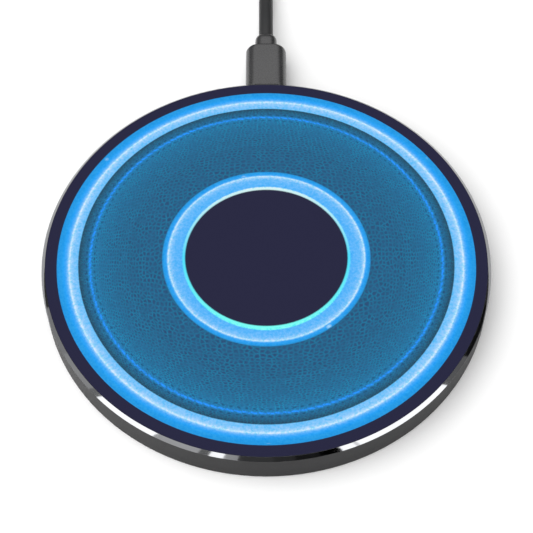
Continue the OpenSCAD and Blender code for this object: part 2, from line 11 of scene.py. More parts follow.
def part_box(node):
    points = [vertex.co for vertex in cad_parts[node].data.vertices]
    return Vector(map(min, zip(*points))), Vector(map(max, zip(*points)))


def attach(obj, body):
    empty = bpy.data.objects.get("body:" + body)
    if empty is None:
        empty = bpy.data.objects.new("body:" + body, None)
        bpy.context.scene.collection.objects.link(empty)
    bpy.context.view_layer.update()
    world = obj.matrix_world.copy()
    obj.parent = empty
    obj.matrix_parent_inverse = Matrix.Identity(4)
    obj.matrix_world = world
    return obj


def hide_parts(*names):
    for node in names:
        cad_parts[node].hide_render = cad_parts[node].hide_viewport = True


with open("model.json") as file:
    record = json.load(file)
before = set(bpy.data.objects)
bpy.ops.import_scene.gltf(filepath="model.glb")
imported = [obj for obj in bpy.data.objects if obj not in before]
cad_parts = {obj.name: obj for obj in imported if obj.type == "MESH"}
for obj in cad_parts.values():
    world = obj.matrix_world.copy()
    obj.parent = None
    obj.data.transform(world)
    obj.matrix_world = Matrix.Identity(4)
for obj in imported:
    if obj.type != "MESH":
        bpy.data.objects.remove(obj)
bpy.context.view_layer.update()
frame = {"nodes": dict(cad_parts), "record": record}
nodes = frame["nodes"]
MM = 0.001

# ---------- places and sizes, from the frame ----------

rim_low, rim_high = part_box("bezel_ring")
_, print_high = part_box("top_print")
plug_low, plug_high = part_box("plug_body")
collar_low, collar_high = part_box("plug_collar")
coil_low, coil_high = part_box("cord_coil")
far_low, far_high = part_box("usb_a_body")
far_collar_low, far_collar_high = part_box("usb_a_collar")
_, foot_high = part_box("foot_ring")
_, side_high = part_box("side_frame")
litz_low, litz_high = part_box("transmit_coil")

PAD_R = rim_high.x
TOP_Z = print_high.z
PORT_Z = (plug_low.z + plug_high.z) / 2
EXIT = Vector((0, collar_high.y, PORT_Z))        # where the cord leaves the collar
CORD_D = 3.5 * MM
CORD_R = CORD_D / 2
QUARTER = 90                                     # degrees in a quarter turn


# ---------- small helpers ----------

def linear(hex_colour):
    """sRGB hex to linear RGBA."""
    def one(c):
        return c / 12.92 if c <= 0.04045 else ((c + 0.055) / 1.055) ** 2.4
    return tuple(one(int(hex_colour[i:i + 2], 16) / 255) for i in (0, 2, 4)) + (1.0,)


def add(tree, kind, inputs=None, **settings):
    """Adds a node with its settings. An input is a value, or a socket to link from."""
    made = tree.nodes.new(kind)
    for key, value in settings.items():
        setattr(made, key, value)
    for key, value in (inputs or {}).items():
        if isinstance(value, bpy.types.NodeSocket):
            tree.links.new(value, made.inputs[key])
        else:
            made.inputs[key].default_value = value
    return made


def maths(tree, operation, *values):
    """A sum, as a node's result. Each value is a number, or a socket to link from."""
    return add(tree, "ShaderNodeMath", dict(enumerate(values)), operation=operation).outputs[0]


def mesh_object(name, bm, crease=50):
    """A finished piece at the origin: normals outward, edges sharp above that many degrees."""
    bmesh.ops.remove_doubles(bm, verts=bm.verts, dist=1e-7)
    bmesh.ops.recalc_face_normals(bm, faces=bm.faces)
    mesh = bpy.data.meshes.new(name)
    bm.to_mesh(mesh)
    bm.free()
    mesh.shade_smooth()
    mesh.set_sharp_from_angle(angle=math.radians(crease))
    piece = bpy.data.objects.new(name, mesh)
    bpy.context.scene.collection.objects.link(piece)
    return piece


def lofted(name, rings, crease, looped=False):
    """A skin over rings of points, in millimetres. It is capped, or runs round to its first ring."""
    bm = bmesh.new()
    rows = [[bm.verts.new([c * MM for c in point]) for point in ring] for ring in rings]
    if looped:
        rows.append(rows[0])
    count = len(rows[0])
    for one, two in zip(rows, rows[1:]):
        for i in range(count):
            j = (i + 1) % count
            bm.faces.new((one[i], one[j], two[j], two[i]))
    if not looped:
        bm.faces.new(rows[0])
        bm.faces.new(rows[-1])
    return mesh_object(name, bm, crease)


def quarter_turn(step, start=0):
    """The angles of a quarter turn, that many degrees apart."""
    return [math.radians(a) for a in range(start, QUARTER + 1, step)]


# ---------- camera ----------

CAMERA_DISTANCE = 330.9 * MM                     # from the middle of the pad's top
CAMERA_ELEVATION = math.radians(56.81)
TILT_DOWN, YAW, ROLL = math.radians(57.22), math.radians(0.005), math.radians(-0.096)
FIELD_OF_VIEW = math.radians(20.33)


def make_camera():
    """Looks along +Y and down on the pad, from a little over three of its widths away."""
    camera = bpy.data.cameras.new("camera")
    camera.sensor_fit = "HORIZONTAL"
    camera.angle = FIELD_OF_VIEW
    camera.clip_start = 0.01
    camera.clip_end = 20
    holder = bpy.data.objects.new("camera", camera)
    bpy.context.scene.collection.objects.link(holder)
    holder.location = (0, -CAMERA_DISTANCE * math.cos(CAMERA_ELEVATION),
                       TOP_Z + CAMERA_DISTANCE * math.sin(CAMERA_ELEVATION))
    turn = (Matrix.Rotation(math.pi / 2 - TILT_DOWN, 3, "X") @ Matrix.Rotation(-YAW, 3, "Y")
            @ Matrix.Rotation(ROLL, 3, "Z"))
    holder.rotation_euler = turn.to_euler()
    bpy.context.scene.camera = holder


make_camera()

# ---------- cord ----------

# The route's points, in millimetres behind the collar
LEAD_ROUTE = [(0, -5, 4.3), (0, 0, 4.3), (0, 5, 4.2), (0, 11, 3.5), (0, 17, 2.6), (0, 23, 2.2),
              (0, 32, 2.15), (0, 40.8, 2.15)]
TAIL_ROUTE = [(0, 59.2, 5.6), (0, 64, 5.2), (0, 70, 3.6), (1, 75, 2.3), (4, 79.2, 1.8),
              (9, 81.5, 1.8), (14, 81.5, 1.8), (19, 79.2, 1.9), (22, 75, 2.4), (23, 70, 3.4),
              (23, 66, 3.8), (23, 60, 3.8)]
OUTER_TURN_R = 24.4
COIL_CENTRE = (-OUTER_TURN_R, 50)                # the lead runs straight into the outer turn
TURNS_PER_LAYER = 4
LAYER_Z = (2.15, 5.65)
CLIMB = 0.7                                      # turns it takes to reach the upper layer
POINTS_PER_TURN = 40
STEPS_BETWEEN = 4                                # on the smooth curve, from point to point


def coil_route():
    """Four turns inwards on the floor, up beside them, and four turns outwards on top."""
    pitch = CORD_D / MM
    points = []
    for i in range(1, 2 * TURNS_PER_LAYER * POINTS_PER_TURN):
        turn = i / POINTS_PER_TURN
        radius = OUTER_TURN_R - pitch * (TURNS_PER_LAYER - abs(TURNS_PER_LAYER - turn))
        climb = min(1, max(0, (turn - TURNS_PER_LAYER + CLIMB / 2) / CLIMB))
        climb = climb * climb * (3 - 2 * climb)
        angle = 2 * math.pi * turn
        points.append((COIL_CENTRE[0] + radius * math.cos(angle),
                       COIL_CENTRE[1] + radius * math.sin(angle),
                       LAYER_Z[0] + (LAYER_Z[1] - LAYER_Z[0]) * climb))
    return points


def smooth_route(points):
    """A smooth curve through the points, as finer points."""
    rows = []
    ends = [points[0]] + points + [points[-1]]
    for a, b, c, d in zip(ends, ends[1:], ends[2:], ends[3:]):
        a, b, c, d = Vector(a), Vector(b), Vector(c), Vector(d)
        for k in range(STEPS_BETWEEN):
            t = k / STEPS_BETWEEN
            rows.append(0.5 * (2 * b + (c - a) * t + (2 * a - 5 * b + 4 * c - d) * t ** 2
                               + (3 * b - a - 3 * c + d) * t ** 3))
    rows.append(Vector(points[-1]))
    return rows


def make_cord():
    """The whole cord as one round tube: the lead, the coil and the tail to the far plug."""
    lead = smooth_route(LEAD_ROUTE + [(0, COIL_CENTRE[1], LAYER_Z[0])])
    tail = smooth_route([(0, COIL_CENTRE[1], LAYER_Z[1])] + TAIL_ROUTE)
    route = lead + [Vector(p) for p in coil_route()] + tail
    curve = bpy.data.curves.new("cord", "CURVE")
    curve.dimensions = "3D"
    curve.bevel_depth = CORD_R
    curve.bevel_resolution = 5
    curve.use_fill_caps = True
    spline = curve.splines.new("POLY")
    spline.points.add(len(route) - 1)
    for point, place in zip(spline.points, route):
        point.co = (place.x * MM, EXIT.y + place.y * MM, place.z * MM, 1)
    spline.use_smooth = True
    cord = bpy.data.objects.new("cord", curve)
    bpy.context.scene.collection.objects.link(cord)
    return cord


cord = make_cord()


# ---------- geometry node trees ----------

def new_tree(name, sizes, source=True):
    """A tree with named inputs, given as (socket type, name)."""
    tree = bpy.data.node_groups.new(name, "GeometryNodeTree")
    if source:
        tree.interface.new_socket("Source", in_out="INPUT", socket_type="NodeSocketGeometry")
    for kind, label in sizes + [("NodeSocketMaterial", "Material")]:
        tree.interface.new_socket(label, in_out="INPUT", socket_type=kind)
    tree.interface.new_socket("Geometry", in_out="OUTPUT", socket_type="NodeSocketGeometry")
    return tree, add(tree, "NodeGroupInput").outputs


def end_tree(tree, geometry, material):
    """Every tree ends in real geometry with its material."""
    real = add(tree, "GeometryNodeRealizeInstances", {"Geometry": geometry})
    dressed = add(tree, "GeometryNodeSetMaterial", {"Geometry": real.outputs[0],
                                                    "Material": material})
    add(tree, "NodeGroupOutput", {0: dressed.outputs[0]})


def grow(name, tree, source, values, crease):
    """Runs a tree on a source mesh with these input values, and keeps the result as a plain mesh."""
    carrier = bpy.data.objects.new(name + "_source",
                                   source or bpy.data.meshes.new(name + "_source"))
    bpy.context.scene.collection.objects.link(carrier)
    maker = carrier.modifiers.new("make", "NODES")
    maker.node_group = tree
    for socket in tree.interface.items_tree:
        if socket.in_out == "INPUT" and socket.name in values:
            maker[socket.identifier] = values[socket.name]
    graph = bpy.context.evaluated_depsgraph_get()
    raw = bpy.data.meshes.new_from_object(carrier.evaluated_get(graph), depsgraph=graph)
    carrier.modifiers.clear()
    bpy.data.objects.remove(carrier)
    bm = bmesh.new()
    bm.from_mesh(raw)
    piece = mesh_object(name, bm, crease)
    piece.data.materials.append(values["Material"])
    return piece


def ring_tree():
    """Sweeps a closed outline round a circle about the Z axis: its x is outwards, its y is down."""
    tree, inputs = new_tree("swept_ring", [("NodeSocketFloat", "Circle radius"),
                                           ("NodeSocketInt", "Steps round")])
    outline = add(tree, "GeometryNodeMeshToCurve", {"Mesh": inputs["Source"]})
    circle = add(tree, "GeometryNodeCurvePrimitiveCircle", {
        "Resolution": inputs["Steps round"], "Radius": inputs["Circle radius"]})
    swept = add(tree, "GeometryNodeCurveToMesh", {"Curve": circle.outputs["Curve"],
                                                  "Profile Curve": outline.outputs["Curve"]})
    end_tree(tree, swept.outputs["Mesh"], inputs["Material"])
    return tree


def strand_tree():
    """Lays a bundle of strands along a flat spiral, each one winding round the bundle's middle."""
    tree, inputs = new_tree("twisted_spiral", [
        ("NodeSocketFloat", "First radius"), ("NodeSocketFloat", "Last radius"),
        ("NodeSocketFloat", "Turns"), ("NodeSocketInt", "Steps a turn"),
        ("NodeSocketFloat", "Start angle"), ("NodeSocketFloat", "Height"),
        ("NodeSocketInt", "Strands"), ("NodeSocketFloat", "Strand radius"),
        ("NodeSocketFloat", "Bundle radius"), ("NodeSocketFloat", "Twist length")], source=False)

    # one spiral for each strand, marked with its share of a turn round the bundle
    spiral = add(tree, "GeometryNodeCurveSpiral", {
        "Resolution": inputs["Steps a turn"], "Rotations": inputs["Turns"],
        "Start Radius": inputs["First radius"], "End Radius": inputs["Last radius"], "Height": 0.0})
    row = add(tree, "GeometryNodeMeshLine", {"Count": inputs["Strands"], "Offset": (0.0, 0.0, 0.0)})
    copies = add(tree, "GeometryNodeInstanceOnPoints", {"Points": row.outputs["Mesh"],
                                                        "Instance": spiral.outputs["Curve"]})
    number = add(tree, "GeometryNodeInputIndex")
    share = maths(tree, "DIVIDE", number.outputs[0], inputs["Strands"])
    marked = add(tree, "GeometryNodeStoreNamedAttribute", {
        "Geometry": copies.outputs[0], "Name": "share", "Value": share},
        data_type="FLOAT", domain="INSTANCE")
    real = add(tree, "GeometryNodeRealizeInstances", {"Geometry": marked.outputs[0]})

    # each point is moved round the middle of the bundle as the strand runs on
    place = add(tree, "GeometryNodeSplineParameter")
    mark = add(tree, "GeometryNodeInputNamedAttribute", {"Name": "share"}, data_type="FLOAT")
    twist = maths(tree, "DIVIDE", place.outputs["Length"], inputs["Twist length"])
    turned = maths(tree, "ADD", twist, mark.outputs[0])
    angle = maths(tree, "MULTIPLY", turned, 2 * math.pi)
    sideways = maths(tree, "COSINE", angle)
    upwards = maths(tree, "SINE", angle)
    out = add(tree, "ShaderNodeVectorMath",
              {0: add(tree, "GeometryNodeInputPosition").outputs[0]}, operation="NORMALIZE")
    across = add(tree, "ShaderNodeVectorMath", {0: out.outputs[0], "Scale": sideways},
                 operation="SCALE")
    up = add(tree, "ShaderNodeCombineXYZ", {"Z": upwards})
    offset = add(tree, "ShaderNodeVectorMath", {0: across.outputs[0], 1: up.outputs[0]},
                 operation="ADD")
    sized = add(tree, "ShaderNodeVectorMath", {0: offset.outputs[0],
                                               "Scale": inputs["Bundle radius"]}, operation="SCALE")
    wound = add(tree, "GeometryNodeSetPosition", {"Geometry": real.outputs[0],
                                                  "Offset": sized.outputs[0]})

    section = add(tree, "GeometryNodeCurvePrimitiveCircle", {"Resolution": 5,
                                                             "Radius": inputs["Strand radius"]})
    tubes = add(tree, "GeometryNodeCurveToMesh", {
        "Curve": wound.outputs[0], "Profile Curve": section.outputs[0], "Fill Caps": True})
    lift = add(tree, "ShaderNodeCombineXYZ", {"Z": inputs["Height"]})
    turn = add(tree, "ShaderNodeCombineXYZ", {"Z": inputs["Start angle"]})
    placed = add(tree, "GeometryNodeTransform", {
        "Geometry": tubes.outputs[0], "Translation": lift.outputs[0], "Rotation": turn.outputs[0]})
    end_tree(tree, placed.outputs[0], inputs["Material"])
    return tree


def rib_tree():
    """Copies a rib along a straight row."""
    tree, inputs = new_tree("rib_row", [("NodeSocketInt", "Ribs"),
                                        ("NodeSocketVector", "First place"),
                                        ("NodeSocketVector", "Step")])
    row = add(tree, "GeometryNodeMeshLine", {
        "Count": inputs["Ribs"], "Start Location": inputs["First place"],
        "Offset": inputs["Step"]})
    ribs = add(tree, "GeometryNodeInstanceOnPoints", {"Points": row.outputs["Mesh"],
                                                      "Instance": inputs["Source"]})
    end_tree(tree, ribs.outputs[0], inputs["Material"])
    return tree


# ---------- pieces ----------

def eased(outline, rounding):
    """The closed outline with each corner turned into a small arc, rounding in the same units."""
    least_legs, steps = 2.2, 4        # a leg is at least this many cuts long, so two never meet
    points = []
    count = len(outline)
    for i in range(count):
        before, corner, after = (Vector(outline[k % count]) for k in (i - 1, i, i + 1))
        reach_in, reach_out = (before - corner), (after - corner)
        cut = min(rounding, reach_in.length / least_legs, reach_out.length / least_legs)
        start = corner + reach_in.normalized() * cut
        stop = corner + reach_out.normalized() * cut
        for k in range(steps + 1):
            t = k / steps
            points.append(start * (1 - t) ** 2 + corner * 2 * t * (1 - t) + stop * t ** 2)
    return points


def outline_mesh(name, points):
    """A closed line of edges in the XY plane, from millimetres."""
    mesh = bpy.data.meshes.new(name)
    count = len(points)
    mesh.from_pydata([(p[0] * MM, p[1] * MM, 0) for p in points],
                     [(i, (i + 1) % count) for i in range(count)], [])
    return mesh


def swept_ring(name, outline, rounding, material, steps=360):
    """A ring about the Z axis from an outline of (radius, height) in millimetres."""
    inside = min(r for r, z in outline)
    source = outline_mesh(name, [(r - inside, -z) for r, z in eased(outline, rounding)])
    return grow(name, ring_tree(), source, {"Circle radius": inside * MM, "Steps round": steps,
                                            "Material": material}, crease=60)


def make_rim(material):
    """The bright rim: a 45 degree bevel round the print, over a tongue in the case's groove."""
    print_gap, tongue_t, top_flat, rounding = 0.05, 0.35, 0.01, 0.02
    tongue_in = print_high.x / MM + print_gap
    tongue_out = tongue_in + tongue_t
    top, low, bevel_low = rim_high.z / MM, rim_low.z / MM, side_high.z / MM
    outline = [(tongue_in, low), (tongue_out, low), (tongue_out, bevel_low),
               (PAD_R / MM, bevel_low), (tongue_in + top_flat, top), (tongue_in, top)]
    return swept_ring("rim", outline, rounding, material)


def make_foot(material):
    """The foot: a flat rubber ring with fine grooves round its underside, to grip the table."""
    out, top = foot_high.x / MM, foot_high.z / MM
    width, grooves, groove_depth, rounding = 8.0, 7, 0.15, 0.05
    mouth_half, floor_half = 0.2, 0.12           # a groove narrows from its mouth to its floor
    pitch = width / (grooves + 1)
    under = [(out - width, 0.0)]
    for i in range(1, grooves + 1):
        middle = out - width + i * pitch
        under += [(middle - mouth_half, 0.0), (middle - floor_half, groove_depth),
                  (middle + floor_half, groove_depth), (middle + mouth_half, 0.0)]
    outline = under + [(out, 0.0), (out, top), (out - width, top)]
    return swept_ring("foot", outline, rounding, material, steps=240)


def bar_section(y, half_w, half_t, corner, centre, steps=10, slope=1.0):
    """A rectangle across the Y axis, round the point centre = (x, z). Its corners are round where
    slope is 1, and straight cuts where it is 2."""
    corner = min(corner, half_w, half_t)
    points = []
    for quarter, (sx, sz) in enumerate([(1, 1), (-1, 1), (-1, -1), (1, -1)]):
        for k in range(steps + 1):
            a = math.radians(QUARTER * (quarter + k / steps))
            along, up = (math.copysign(abs(f(a)) ** slope, f(a)) for f in (math.cos, math.sin))
            points.append((centre[0] + sx * (half_w - corner) + corner * along, y,
                           centre[1] + sz * (half_t - corner) + corner * up))
    return points


def moulded_body(name, low, high, corner, slope, plan_round, end_round, lip):
    """A plug's moulded body: a bar with round sides and a fine edge in front. Its cord end has the
    higher y, and is rounded by plan_round as seen from above and end_round from the side."""
    low, high = low / MM, high / MM
    centre = ((low.x + high.x) / 2, (low.z + high.z) / 2)
    half_w, half_t, length = (high.x - low.x) / 2, (high.z - low.z) / 2, high.y - low.y

    def drawn_in(depth, radius):
        """How far a quarter round of that radius draws a side in, at that depth from the end."""
        short = max(0.0, radius - depth)
        return radius - math.sqrt(max(0.0, radius ** 2 - short ** 2))

    stations = [lip * (1 - math.cos(a)) for a in quarter_turn(18)]
    stations += [length * k / 12 for k in range(1, 9)]
    stations += [length - plan_round * (1 - math.sin(a)) for a in quarter_turn(6)]
    rings = []
    for s in sorted(set(round(s, 5) for s in stations)):
        from_front, from_end = drawn_in(s, lip), length - s
        rings.append(bar_section(low.y + s, half_w - drawn_in(from_end, plan_round) - from_front,
                                 half_t - drawn_in(from_end, end_round) - from_front,
                                 corner - from_front, centre, slope=slope))
    return lofted(name, rings, crease=60)


def collar(name, low, high, waist):
    """A strain relief: a soft-cornered square sleeve that grows out of the body, narrows by waist,
    rounds off at its far edge and closes on the cord."""
    low, high = low / MM, high / MM
    centre, r = ((low.x + high.x) / 2, (low.z + high.z) / 2), (high.z - low.z) / 2
    root, clearance, corner_share = 1.2, 0.03, 0.72      # root: its length inside the body
    edge, ease = 1.6, 0.85                               # the far edge's round: along and inwards
    hole = CORD_R / MM + clearance
    length = high.y - low.y + root
    start, straight, narrow = low.y - root, length - edge, r - waist
    outline = [(0.0, r), (length * 0.5, r - waist / 2), (straight, narrow)]
    outline += [(straight + edge * math.sin(a), narrow - ease + ease * math.cos(a))
                for a in quarter_turn(15, start=15)]
    rings = [bar_section(start + y, half, half, corner_share * half, centre)
             for y, half in outline]
    rings += [bar_section(start + y, hole, hole, hole, centre)
              for y in (length, length * 0.5, 0.0)]
    return lofted(name, rings, looped=True, crease=45)


def make_strap():
    """A silicone strap round the coiled cord: thin, round-edged, with ridges across it on top."""
    half_width, thick, press = 2.6, 0.36, 0.08           # press: how far it dents the turns
    ridge, ridge_height, ridges_above, step = 1.2, 0.16, 3.6, 0.25
    centre_x = (coil_low.x + coil_high.x) / 2 / MM
    centre_y = (coil_low.y + coil_high.y) / 2 / MM
    low_z, high_z = coil_low.z / MM, coil_high.z / MM
    # half a turn from the coil's start, its turns lie half a cord inside the space it takes up
    spare = 0.5 * CORD_D / MM - press
    out_r = (coil_high.x - coil_low.x) / 2 / MM
    in_r = out_r - CORD_D / MM * (TURNS_PER_LAYER + 1)
    out_r, in_r = out_r - spare, in_r + spare
    across = [(-half_width, 0.02), (-half_width + 0.06, 0.24), (-half_width + 0.2, thick)]
    across += [(half_width * t, thick) for t in (-0.6, -0.2, 0.2, 0.6)]
    across += [(-s, d) for s, d in reversed(across[:3])]

    def loop(side, proud):
        """The way round the turns at that place across the strap, proud of them by that much."""
        far, near = math.sqrt(out_r ** 2 - side ** 2), math.sqrt(in_r ** 2 - side ** 2)
        half_w, half_t = (far - near) / 2 + proud, (high_z - low_z) / 2 + proud
        middle = (centre_x - (far + near) / 2, (low_z + high_z) / 2)
        section = bar_section(0, half_w, half_t, CORD_R / MM + proud, middle, steps=12)
        return [(px, centre_y + side, pz) for px, _, pz in section]

    plan = loop(0, 0)
    cuts = [max(1, round(math.dist(p, plan[i - 1]) / step)) for i, p in enumerate(plan)]

    def fine(points):
        return [Vector(points[i - 1]).lerp(Vector(points[i]), k / cuts[i])
                for i in range(len(points)) for k in range(cuts[i])]

    way, lengths = 0.0, []
    for here, there in zip(fine(plan), fine(plan)[1:] + fine(plan)[:1]):
        lengths.append(way)
        way += (there - here).length
    waves = round(way / ridge)

    def crest(s):
        return 0.5 + 0.5 * math.cos(2 * math.pi * waves * s / way)

    rings = []
    for side, proud in across:
        high = proud + (ridge_height if proud == thick else 0)
        rings.append([low_at.lerp(high_at, crest(s) * (low_at.z > ridges_above))
                      for low_at, high_at, s in zip(fine(loop(side, proud)),
                                                    fine(loop(side, high)), lengths)])
    inner = [fine(loop(side, 0.0)) for side, _ in reversed(across)]
    return lofted("strap", rings + inner, looped=True, crease=70)


def make_grip(name, low, high, material):
    """Grip ribs across the flat top of the USB-A body, near its cord end."""
    low, high = low / MM, high / MM
    ribs, pitch, first, sunk = 5, 1.5, 4.2, 0.02         # first: its distance from the cord end
    half_length, half_width, height, facets = 4.2, 0.35, 0.22, 8
    middle_x = (low.x + high.x) / 2
    rib = bmesh.new()
    rows = []
    for k in range(facets + 1):
        a = math.pi * k / facets
        y, z = half_width * math.cos(a) * MM, height * math.sin(a) * MM
        rows.append([rib.verts.new((x * MM, y, z)) for x in (-half_length, half_length)])
    for one, two in zip(rows, rows[1:]):
        rib.faces.new((one[0], one[1], two[1], two[0]))
    rib.faces.new([row[0] for row in rows])
    rib.faces.new([row[1] for row in rows])
    rib.faces.new((rows[0][0], rows[0][1], rows[-1][1], rows[-1][0]))
    source = bpy.data.meshes.new("grip_rib")
    rib.to_mesh(source)
    rib.free()
    return grow(name, rib_tree(), source, {
        "Ribs": ribs, "First place": (middle_x * MM, (high.y - first) * MM, (high.z - sunk) * MM),
        "Step": (0.0, -pitch * MM, 0.0), "Material": material}, crease=60)


def make_litz(material):
    """The transmitter coil: seven enamelled strands, twisted and wound into a flat spiral."""
    low, high = litz_low / MM, litz_high / MM
    hole_r, turns, gap = 10.3, 10, 0.05
    bundle_w = high.z - low.z
    first_r = hole_r + bundle_w / 2
    return grow("coil_strands", strand_tree(), None, {
        "First radius": first_r * MM, "Last radius": (first_r + turns * (bundle_w + gap)) * MM,
        "Turns": float(turns), "Steps a turn": 110, "Start angle": math.radians(60),
        "Height": (low.z + bundle_w / 2) * MM, "Strands": 7, "Strand radius": 0.17 * MM,
        "Bundle radius": 0.36 * MM, "Twist length": 8 * MM, "Material": material}, crease=80)


# ---------- materials ----------

def new_material(name):
    """An empty material and its node tree."""
    material = bpy.data.materials.new(name)
    material.use_nodes = True
    tree = material.node_tree
    tree.nodes.clear()
    return material, tree


def finish_material(tree, shader_inputs):
    """Every material ends in one Principled shader with these inputs."""
    shader = add(tree, "ShaderNodeBsdfPrincipled", shader_inputs)
    add(tree, "ShaderNodeOutputMaterial", {"Surface": shader.outputs["BSDF"]})


def object_mm(tree):
    """Object coordinates, in millimetres."""
    place = add(tree, "ShaderNodeTexCoord")
    scaled = add(tree, "ShaderNodeVectorMath", {0: place.outputs["Object"], "Scale": 1 / MM},
                 operation="SCALE")
    return scaled.outputs["Vector"]


def radius_mm(tree, mm):
    """Distance from the Z axis, in millimetres."""
    flat = add(tree, "ShaderNodeVectorMath", {0: mm, 1: (1, 1, 0)}, operation="MULTIPLY").outputs[0]
    return add(tree, "ShaderNodeVectorMath", {0: flat}, operation="LENGTH").outputs["Value"]


def ranged(tree, value, low, high, to_low=0.0, to_high=1.0):
    """The value's place between low and high, as a value between to_low and to_high."""
    return add(tree, "ShaderNodeMapRange", {"Value": value, "From Min": low, "From Max": high,
                                            "To Min": to_low, "To Max": to_high}).outputs[0]


def mixed(tree, factor, one, two, blend="MIX"):
    """Two colours, or colour sockets, mixed by a factor."""
    return add(tree, "ShaderNodeMix", {"Factor": factor, 6: one, 7: two}, data_type="RGBA",
               blend_type=blend).outputs[2]


def grained(name, light, dark, roughness, grain_mm, bump_mm, **shader):
    """A matt or satin surface whose colour drifts a little and whose grain has a real size."""
    material, tree = new_material(name)
    mm = object_mm(tree)
    # 0.12 of a patch a millimetre: the colour drifts over about 8 mm
    drift = add(tree, "ShaderNodeTexNoise", {"Vector": mm, "Scale": 0.12, "Detail": 2.0})
    grain = add(tree, "ShaderNodeTexNoise", {"Vector": mm, "Scale": 1 / grain_mm, "Detail": 3.0,
                                             "Roughness": 0.6})
    shade = maths(tree, "MULTIPLY", drift.outputs["Fac"], grain.outputs["Fac"])
    colour = mixed(tree, ranged(tree, shade, 0.15, 0.35), linear(dark), linear(light))
    rough = ranged(tree, grain.outputs["Fac"], 0.3, 0.7, max(0.02, roughness - 0.05),
                   roughness + 0.05)
    bump = add(tree, "ShaderNodeBump", {"Height": grain.outputs["Fac"], "Distance": bump_mm * MM,
                                        "Strength": 1.0})
    finish_material(tree, {"Base Color": colour, "Roughness": rough,
                           "Normal": bump.outputs["Normal"], **shader})
    return material


def drawn_metal(name, light, dark, roughness, stretch, line_mm=0.08):
    """Metal with fine lines along one direction, from rolling, drawing or brushing."""
    material, tree = new_material(name)
    along = add(tree, "ShaderNodeMapping", {"Vector": object_mm(tree), "Scale": stretch})
    lines = add(tree, "ShaderNodeTexNoise", {"Vector": along.outputs[0], "Scale": 1 / line_mm,
                                             "Detail": 2.0})
    colour = mixed(tree, lines.outputs["Fac"], linear(dark), linear(light))
    rough = ranged(tree, lines.outputs["Fac"], 0.3, 0.7, roughness * 0.8, roughness * 1.2)
    bump = add(tree, "ShaderNodeBump", {"Height": lines.outputs["Fac"], "Distance": 0.002 * MM,
                                        "Strength": 0.6})
    finish_material(tree, {"Base Color": colour, "Metallic": 1.0, "Roughness": rough,
                           "Normal": bump.outputs["Normal"]})
    return material


def speckled(name, ground, speck, roughness, speck_mm, amount, **shader):
    """Grains of one colour set in a ground of another, as in sintered or pressed powder."""
    material, tree = new_material(name)
    cells = add(tree, "ShaderNodeTexVoronoi", {"Vector": object_mm(tree), "Scale": 1 / speck_mm})
    tone = add(tree, "ShaderNodeSeparateColor", {0: cells.outputs["Color"]})
    pick = ranged(tree, tone.outputs[0], 1 - amount, 1.0)
    colour = mixed(tree, pick, linear(ground), linear(speck))
    bump = add(tree, "ShaderNodeBump", {"Height": cells.outputs["Distance"],
                                        "Distance": 0.01 * MM, "Strength": 0.5})
    finish_material(tree, {
        "Base Color": colour, "Roughness": ranged(tree, pick, 0, 1, roughness, roughness * 0.6),
        "Normal": bump.outputs["Normal"], **shader})
    return material


def solder_mask():
    """Green solder mask over etched copper: glossy, with the tracks paler and a little proud."""
    material, tree = new_material("solder_mask_over_copper")
    mm = object_mm(tree)
    # tracks 0.7 mm apart, broken every 2.2 mm
    tracks = add(tree, "ShaderNodeTexBrick", {
        "Vector": mm, "Scale": 1.0, "Mortar Size": 0.09, "Brick Width": 2.2, "Row Height": 0.7,
        "Mortar Smooth": 0.2}, offset=0.37)
    copper = ranged(tree, tracks.outputs["Fac"], 0.2, 0.8)
    weave = add(tree, "ShaderNodeTexWave", {"Vector": mm, "Scale": 1.6, "Distortion": 1.0})
    ground = mixed(tree, weave.outputs["Fac"], linear("1c5236"), linear("1f5a3a"))
    colour = mixed(tree, copper, ground, linear("2f7a4c"))
    bump = add(tree, "ShaderNodeBump", {"Height": copper, "Distance": 0.03 * MM, "Strength": 0.8})
    finish_material(tree, {"Base Color": colour, "Roughness": 0.28, "Coat Weight": 0.4,
                           "Coat Roughness": 0.1, "Normal": bump.outputs["Normal"]})
    return material


# The film is printed in soft concentric bands: radius in millimetres and colour, from inside out
INNER_BANDS = [
    (18.5, "5cc0fb"), (19.0, "55b3fb"), (20.4, "62b8fb"), (21.1, "74bffb"), (21.6, "98cffa"),
    (21.85, "c0e8ff"), (22.05, "84c8fb"), (22.25, "32a3f6"), (22.9, "259be9"), (23.1, "278fd2"),
    (23.3, "275c83"), (23.7, "275f87"), (30.0, "276189")]
OUTER_BANDS = [
    (33.0, "27658e"), (35.0, "276994"), (37.0, "276e9a"), (38.2, "2776a6"), (38.8, "2679b0"),
    (39.6, "2775ab"), (39.9, "276896"), (41.0, "26597b"), (41.7, "264860"), (41.9, "6cc0fb"),
    (42.9, "84c6fb"), (43.4, "9cd2fb"), (43.8, "c4e9ff"), (44.1, "7fc3fb"), (44.5, "48abfb"),
    (45.0, "27a2f7"), (45.6, "239be8"), (46.5, "2396e0"), (46.6, "262640")]
BAND_SPLIT = 31.0                     # where the one list takes over from the other
NAVY = "262640"
DISC_R = 18.12                        # the navy disc in the middle
NET_FROM, NET_TO = 23.25, 41.8
RINGS_END = 46.6
INNER_BLUE, OUTER_BLUE = (22.3, 23.0), (44.7, 46.2)      # the rings' blue edges
DASH_R, DASHES = 39.2, 144            # the dashed ring
DASH_SLANT, DASH_HALF, DASH_FADE = 0.26, 0.10, 0.36      # it fades from DASH_HALF to DASH_FADE
TEETH_OFF, TEETH_FROM = 0.85, 0.1     # dark dashes, TEETH_OFF to both sides of a circle just inside
LINE_W, LINE_ENDS, LINE_LEAN = 0.5, 0.35, -0.12          # the bright line round the disc
